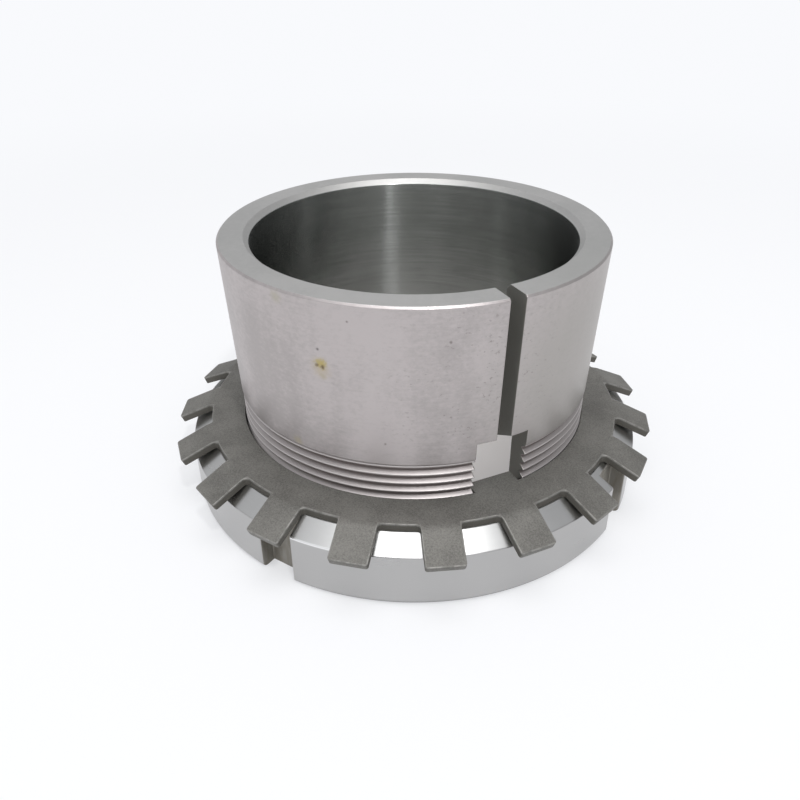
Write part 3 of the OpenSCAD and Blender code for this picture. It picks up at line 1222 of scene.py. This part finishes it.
@dataclass
class Washer:
    """The toothed lock washer, bent towards the nut, with a flat tongue.

    It hangs a little to one side on the thread, by less than its clearance.
    """

    finish: PhosphatedSteel
    angle: float = -32.85
    shift: Span = (-0.06, -0.03)
    seat_z: float = 15.0
    thickness: float = 1.8
    bore_r: float = 40.15
    ring_r: float = 47.8
    tip_r: float = 56.1
    teeth: int = 19
    tooth_half: float = 3.9
    bend: float = 23.5
    bend_r: float = 2.0
    tip_round: float = 0.55
    root_round: float = 1.0
    tongue_half: float = 5.0
    tongue_end: float = 36.5
    top_edge: float = 0.13
    low_edge: float = 0.12
    guard: float = 0.1
    tooth_columns: int = 9
    gap_columns: int = 5
    ring_rows: int = 7
    tongue_rows: int = 4
    round_rows: int = 5
    near_rows: int = 3
    far_rows: int = 5
    slope_rows: int = 7
    bend_rows: int = 8
    weld_digits: int = 5

    @property
    def bend_len(self) -> float:
        """Length of the bend along the middle of the sheet."""
        return math.radians(self.bend) * (self.bend_r + self.thickness / 2)

    @property
    def tooth_len(self) -> float:
        """Length of a tooth in the flat sheet, from the fold to the tip."""
        tilt = math.radians(self.bend)
        round_reach = (self.bend_r + self.thickness) * math.sin(tilt)
        return self.bend_len + (self.tip_r - self.ring_r - round_reach) / math.cos(tilt)

    def tooth(self) -> np.ndarray:
        """Plan of one tooth along +X in the flat sheet.

        The half width is the tooth's own, plus a quarter circle at the root, less a quarter
        circle at the tip. The rows of the two edges follow those circles; the rows between
        them follow the bend and stay clear of the tip.

        Returns:
            Points for each row, from one edge to the other.
        """
        spread = np.linspace(-1, 1, self.tooth_columns)[None, :]
        span = self.tooth_len
        swing = np.linspace(0, QUARTER_TURN, self.round_rows)
        bent = self.bend_len + self.guard
        root = self.root_round * (1 - np.cos(swing))
        tip = span - self.tip_round * (1 - np.sin(swing))
        near = np.linspace(self.root_round, bent, self.near_rows)[1:]
        far = np.linspace(bent, tip[0], self.far_rows)[1:-1]
        edge = np.concatenate([root, near, far, tip])[:, None]
        clear = span - self.top_edge - 2 * self.guard
        slope = np.linspace(bent, clear, self.slope_rows)[1:]
        inner = np.concatenate([np.linspace(0, bent, self.bend_rows), slope, [span]])[:, None]
        flare = self.root_round - np.minimum(edge, self.root_round)
        flare = self.root_round - np.sqrt(self.root_round**2 - flare**2)
        nip = np.maximum(edge - span + self.tip_round, 0)
        nip = self.tip_round - np.sqrt(np.maximum(self.tip_round**2 - nip**2, 0))
        side = spread * (self.tooth_half + flare - nip)
        climb = np.where(np.abs(spread) == 1, edge, inner)
        base = np.sqrt(self.ring_r**2 - (spread * (self.tooth_half + self.root_round)) ** 2)
        along = base + (self.ring_r + span - base) * climb / span
        return np.stack([along, side], axis=-1)

    def plan(self) -> tuple[np.ndarray, np.ndarray, np.ndarray]:
        """Plan of the flat sheet: the ring, the teeth and the tongue, with shared points welded.

        Returns:
            Points; faces; the direction of the tooth that each point belongs to, or nan.
        """
        tooth = self.tooth()
        rows, columns = tooth.shape[:2]
        pitch = FULL_TURN / self.teeth
        foot = np.arctan2(tooth[0, :, 1], tooth[0, :, 0])
        tongue_turn = math.asin(self.tongue_half / self.bore_r)
        gap = np.linspace(tongue_turn, pitch - tongue_turn, self.gap_columns)
        around = np.concatenate([foot, gap])
        steps = np.repeat(np.arange(self.teeth) * pitch, len(around))
        around = np.tile(around, self.teeth) + steps
        radii = np.linspace(self.bore_r, self.ring_r, self.ring_rows)[:, None]
        ring = polar(radii, around, 0.0)[..., :2].reshape(-1, 2)
        ring_faces = grid_faces(self.ring_rows, len(around))
        turns = (np.arange(self.teeth) * pitch)[:, None, None]
        fan = np.stack(swung(tooth[..., 0], tooth[..., 1], turns), axis=-1).reshape(-1, 2)
        cells = grid_faces(rows, columns, closed=False)
        each = np.arange(self.teeth)[:, None, None] * rows * columns
        tooth_faces = (cells[None] + each).reshape(-1, 4)
        edge = np.concatenate([[-tongue_turn], foot, [tongue_turn]])
        side = self.bore_r * np.sin(edge)
        start = self.bore_r * np.cos(edge)
        slide = np.linspace(0, 1, self.tongue_rows)[:, None]
        inward = start + (self.tongue_end - start) * slide
        tongue = np.stack([inward, side * np.ones_like(slide)], axis=-1).reshape(-1, 2)
        tongue_faces = grid_faces(self.tongue_rows, len(edge), closed=False)[:, ::-1]
        points = np.concatenate([ring, fan, tongue])
        turn = np.concatenate([
            np.full(len(ring), np.nan),
            np.repeat(np.arange(self.teeth) * pitch, rows * columns),
            np.full(len(tongue), np.nan),
        ])
        faces = np.concatenate([ring_faces, tooth_faces + len(ring), tongue_faces + len(ring) + len(fan)])
        key = np.round(points, self.weld_digits) + 0.0
        _, keep, back = np.unique(key, axis=0, return_index=True, return_inverse=True)
        return points[keep], back.reshape(-1)[faces], turn[keep]

    def folded(self, flat: np.ndarray, height: np.ndarray, turn: np.ndarray) -> np.ndarray:
        """Carries points of the flat sheet round the bend.

        A tooth's point turns about the bend's axis by its distance along the middle of the
        sheet, up to the bend's angle, and then goes straight down the slope. Its height stays
        square to the sheet. The ring and the tongue stay flat.

        Args:
            flat: Points in the flat sheet.
            height: Heights above the sheet's lower face.
            turn: Directions of the teeth, or nan.

        Returns:
            Points in space.
        """
        ahead = np.stack([np.cos(turn), np.sin(turn)], axis=-1)
        across = np.stack([-np.sin(turn), np.cos(turn)], axis=-1)
        past = (flat * ahead).sum(-1) - self.ring_r
        aside = (flat * across).sum(-1)
        tilt = np.clip(past / (self.bend_r + self.thickness / 2), 0, math.radians(self.bend))
        straight = np.where(past < 0, past, np.maximum(past - self.bend_len, 0))
        radius = self.bend_r + height
        reach = self.ring_r + radius * np.sin(tilt) + straight * np.cos(tilt)
        z = radius * np.cos(tilt) - straight * np.sin(tilt) - self.bend_r
        bent = reach[:, None] * ahead + aside[:, None] * across
        ring = np.isnan(turn)
        place = np.where(ring[:, None], flat, bent)
        return np.column_stack([place, self.seat_z + np.where(ring, height, z)])

    def edge_profile(self) -> np.ndarray:
        """Section of the sheet's edge: a quarter circle above and a smaller one below.

        Returns:
            Distance inward from the edge and height, from the upper face to the lower one.
        """
        swing = np.linspace(0, QUARTER_TURN, self.round_rows)
        e, q, t = self.top_edge, self.low_edge, self.thickness
        inward = [[e + self.guard], e - e * np.sin(swing), q - q * np.cos(swing), [q + self.guard]]
        height = [[t], t - e + e * np.cos(swing), q - q * np.sin(swing), [0]]
        return np.stack([np.concatenate(inward), np.concatenate(height)], axis=-1)

    def shape(self) -> Shape:
        """The sheet with its thickness: two faces, joined by a rounded rim along every open edge.

        At a rim point the inward way is the mitre of its two edges, so that the rim keeps its
        width round corners.
        """
        flat, faces, turn = self.plan()
        count = len(flat)
        edges = np.stack([faces, np.roll(faces, -1, axis=1)], axis=-1).reshape(-1, 2)
        there = edges[:, 0] * count + edges[:, 1]
        back = edges[:, 1] * count + edges[:, 0]
        rim = edges[~np.isin(back, there)]
        way = flat[rim[:, 1]] - flat[rim[:, 0]]
        inward = np.stack([way[:, 1], -way[:, 0]], axis=-1) / np.linalg.norm(way, axis=1)[:, None]
        total = np.zeros_like(flat)
        np.add.at(total, rim[:, 0], inward)
        np.add.at(total, rim[:, 1], inward)
        ends = np.unique(rim)
        mitre = 2 * total[ends] / (total[ends] ** 2).sum(1)[:, None]
        profile = self.edge_profile()
        levels = len(profile)
        edge = flat[ends] + mitre * profile[:, :1, None]
        upper, lower = flat.copy(), flat.copy()
        upper[ends], lower[ends] = edge[0], edge[-1]
        number = np.zeros((levels, count), dtype=int)
        number[1:-1, ends] = 2 * count + np.arange((levels - 2) * len(ends)).reshape(levels - 2, -1)
        number[0], number[-1] = np.arange(count), np.arange(count) + count
        first, last = number[:, rim[:, 0]], number[:, rim[:, 1]]
        walls = np.stack([last[:-1], first[:-1], first[1:], last[1:]], axis=-1).reshape(-1, 4)
        skin = np.concatenate([faces, faces[:, ::-1] + count, walls])
        height = np.concatenate([
            np.full(count, self.thickness),
            np.zeros(count),
            np.repeat(profile[1:-1, 1], len(ends)),
        ])
        sheet = np.concatenate([upper, lower, edge[1:-1].reshape(-1, 2)])
        turns = np.concatenate([turn, turn, np.tile(turn[ends], levels - 2)])
        points = turned(self.folded(sheet, height, turns), self.angle)
        return Shape(points + np.array([*self.shift, 0.0]), skin)

    def build(self) -> None:
        """Makes and dresses the washer."""
        dress(Piece.WASHER, self.shape(), self.finish.material(self))


@dataclass(frozen=True)
class Lamp:
    """An oval soft lamp that faces the object: place, width and depth in metres, power in watts."""

    name: str
    at: Point
    size: Span
    power: float
    aim: Point = (0.0, 0.0, 0.03)

    def build(self) -> None:
        """Hangs the lamp."""
        light = bpy.data.lights.new(self.name, "AREA")
        light.shape = "ELLIPSE"
        light.size, light.size_y = self.size
        light.energy = self.power
        made = linked(self.name, light)
        made.location = self.at
        way = Vector(self.aim) - Vector(self.at)
        made.rotation_euler = way.to_track_quat("-Z", "Y").to_euler()


@dataclass
class Studio:
    """White floor, soft light and the camera."""

    floor_r: float = 4.0
    floor_sides: int = 64
    floor_colour: Colour = (0.95, 0.952, 0.958)
    shade_and_reflection_colour: Colour = (0.85, 0.81, 0.80)
    floor_glow: float = 0.57
    dark_span: Span = (35.5, 39.5)
    fade_span: Span = (110.0, 480.0)
    far_white: Colour = (0.945, 0.955, 0.98)
    sky_white: float = 1.0
    sky_fall: float = 0.25
    sky_span: Span = (0.1, 0.9)
    sky_gloss: float = 0.75
    sky_light: float = 0.63
    lamps: tuple[Lamp, ...] = (
        Lamp("overhead", (0.094, -0.130, 0.78), (0.62, 0.48), 1.85),
        Lamp("overhead_glow", (0.084, -0.136, 0.80), (1.05, 0.75), 0.85),
        Lamp("front", (0.432, -0.341, 0.80), (0.06, 0.06), 2.0),
    )
    camera_at: Point = (82.82, -134.09, 112.905)
    camera_aim: Point = (-2.703, -1.670, 14.932)
    camera_roll: float = -0.4157
    camera_near: float = 5.0
    lens: float = 34.108
    sensor: float = 36.0

    def floor(self) -> None:
        """A round pale floor that keeps shadows.

        It keeps its full shade in the bore, where its colour is also painted darker and pinker as painted
        shade and a painted reflection of the steel, and it fades to white far off.
        """
        turn = np.linspace(0, FULL_TURN, self.floor_sides, endpoint=False)
        mesh = bpy.data.meshes.new("floor")
        mesh.from_pydata(polar(self.floor_r, turn, 0.0).tolist(), [], [list(range(self.floor_sides))])
        made = linked("floor", mesh)
        g = Surface("white_paper")
        outside = g.r.rise(*self.dark_span)
        fade = self.floor_glow + g.r.rise(*self.fade_span) * (1 - self.floor_glow)
        camera, gloss, through = g.rays("Camera", "Glossy", "Transmission")
        seen = (camera + gloss + through).least(1.0) * outside * fade
        # Painted shade and painted reflection: the paper inside the bore is darker and pinker.
        tint = g.mix(outside, self.shade_and_reflection_colour, self.floor_colour)
        paper = g.node("ShaderNodeBsdfDiffuse", {"Color": tint})
        glow = g.node("ShaderNodeEmission", {"Color": solid(self.far_white), "Strength": 1.0})
        mesh.materials.append(g.finish(g.node("ShaderNodeMixShader", {0: seen, 1: paper, 2: glow})))

    def sky(self) -> None:
        """A white surround, darker as light than as what is seen, and darkest at the camera's right."""
        world = bpy.data.worlds.new("studio")
        world.use_nodes = True
        bpy.context.scene.world = world
        g = Graph(world.node_tree)
        camera, gloss, through = g.rays("Camera", "Glossy", "Transmission")
        level = self.sky_light + gloss.most(through) * (self.sky_gloss - self.sky_light)
        ahead = Vector(self.camera_aim) - Vector(self.camera_at)
        way = Vector((ahead.y, -ahead.x)).normalized()
        x, y, _ = g.split(g.node("ShaderNodeTexCoord", out="Generated"))
        right = x * way.x + y * way.y
        level = level * (1 - right.rise(*self.sky_span) * self.sky_fall)
        level = level + camera * (self.sky_white - level)
        surround = {"Color": solid(self.far_white), "Strength": level}
        g.close(g.node("ShaderNodeBackground", surround), "ShaderNodeOutputWorld")

    def camera(self) -> None:
        """The camera at the photograph's place, turned a little about its own axis."""
        at = Vector(self.camera_at) * MM
        ahead = (Vector(self.camera_aim) * MM - at).normalized()
        right = ahead.cross(Vector((0, 0, 1))).normalized()
        up = right.cross(ahead)
        roll = math.radians(self.camera_roll)
        right_rolled = right * math.cos(roll) + up * math.sin(roll)
        up_rolled = up * math.cos(roll) - right * math.sin(roll)
        data = bpy.data.cameras.new("camera")
        data.lens = self.lens
        data.sensor_width = self.sensor
        data.clip_start = self.camera_near * MM
        made = linked("camera", data)
        axes = Matrix((right_rolled, up_rolled, -ahead)).transposed()
        made.matrix_world = Matrix.Translation(at) @ axes.to_4x4()
        bpy.context.scene.camera = made

    def build(self) -> None:
        """Sets up floor, light and camera."""
        self.floor()
        self.sky()
        for lamp in self.lamps:
            lamp.build()
        self.camera()
        bpy.context.scene.view_settings.view_transform = "Standard"


def main() -> None:
    """Builds the pieces in order, then the studio around them."""
    logging.basicConfig(level=logging.INFO, format="%(name)s: %(message)s")
    thread = Thread()
    ground = GroundSteel(
        "ground_steel",
        light=(0.52, 0.482, 0.478),
        dark=(0.415, 0.386, 0.381),
        roughness=0.43,
        anisotropy=0.15,
        line_tint=0.68,
        band_tint=1.9,
        grain_tint=1.7,
    )
    honed = MachinedSteel(
        "honed_bore",
        light=(0.44, 0.453, 0.437),
        dark=(0.335, 0.347, 0.332),
        roughness=0.24,
        anisotropy=1.0,
        line_tint=1.92,
        line_bump=0.0,
        band_tint=0.6,
        grain_tint=0.8,
    )
    lathe = TurnedSteel("turned_steel", (0.57, 0.57, 0.565), (0.50, 0.50, 0.495), roughness=0.30)
    skin = PhosphatedSteel("phosphated_steel", (0.215, 0.209, 0.192), (0.118, 0.114, 0.104), roughness=0.6)
    sleeve = Sleeve(thread, ground, honed)
    for part in (sleeve, Nut(thread, lathe, sleeve.slit_angle), Washer(skin)):
        part.build()
    Studio().build()


if __name__ == "__main__":
    main()
